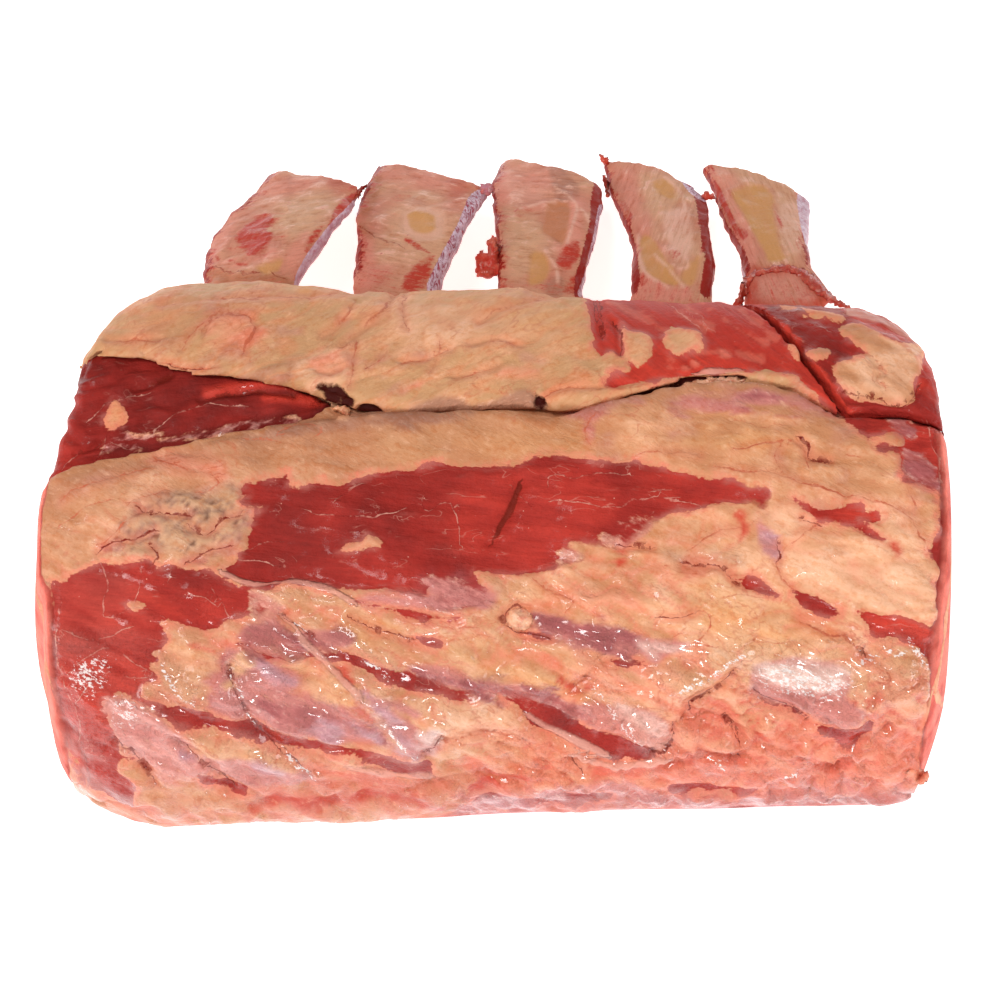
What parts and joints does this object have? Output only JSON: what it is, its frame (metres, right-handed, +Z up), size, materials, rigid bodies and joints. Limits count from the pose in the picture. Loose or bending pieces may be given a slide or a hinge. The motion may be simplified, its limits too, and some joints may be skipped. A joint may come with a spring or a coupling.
{
  "type": "raw beef rib rack",
  "caption": "Raw beef rib roast, uncut: thick arched loin with fat cover and a cap flap, and long bare rib bones fanning out of its back edge. Stands on a table.",
  "frame": {"origin": "middle of the rack's footprint, on the table it stands on", "axes": "+X along the row of ribs, to the right seen from the thick meat edge; +Y from the meat towards the bone tips; +Z up, through the fat side"},
  "size_m": [0.336, 0.31, 0.1173],
  "materials": {
    "meat": "moist",
    "cap_fat": "moist",
    "end_fat": "moist",
    "strip_meat": "moist",
    "bone": "matt"
  },
  "bodies": {
    "root": {"loin": "meat", "cap_flap": "cap_fat", "end_flap": "end_fat", "flap_strip": "strip_meat", "rib_1": "bone", "rib_2": "bone", "rib_3": "bone", "rib_4": "bone", "rib_5": "bone"}
  },
  "joints": []
}
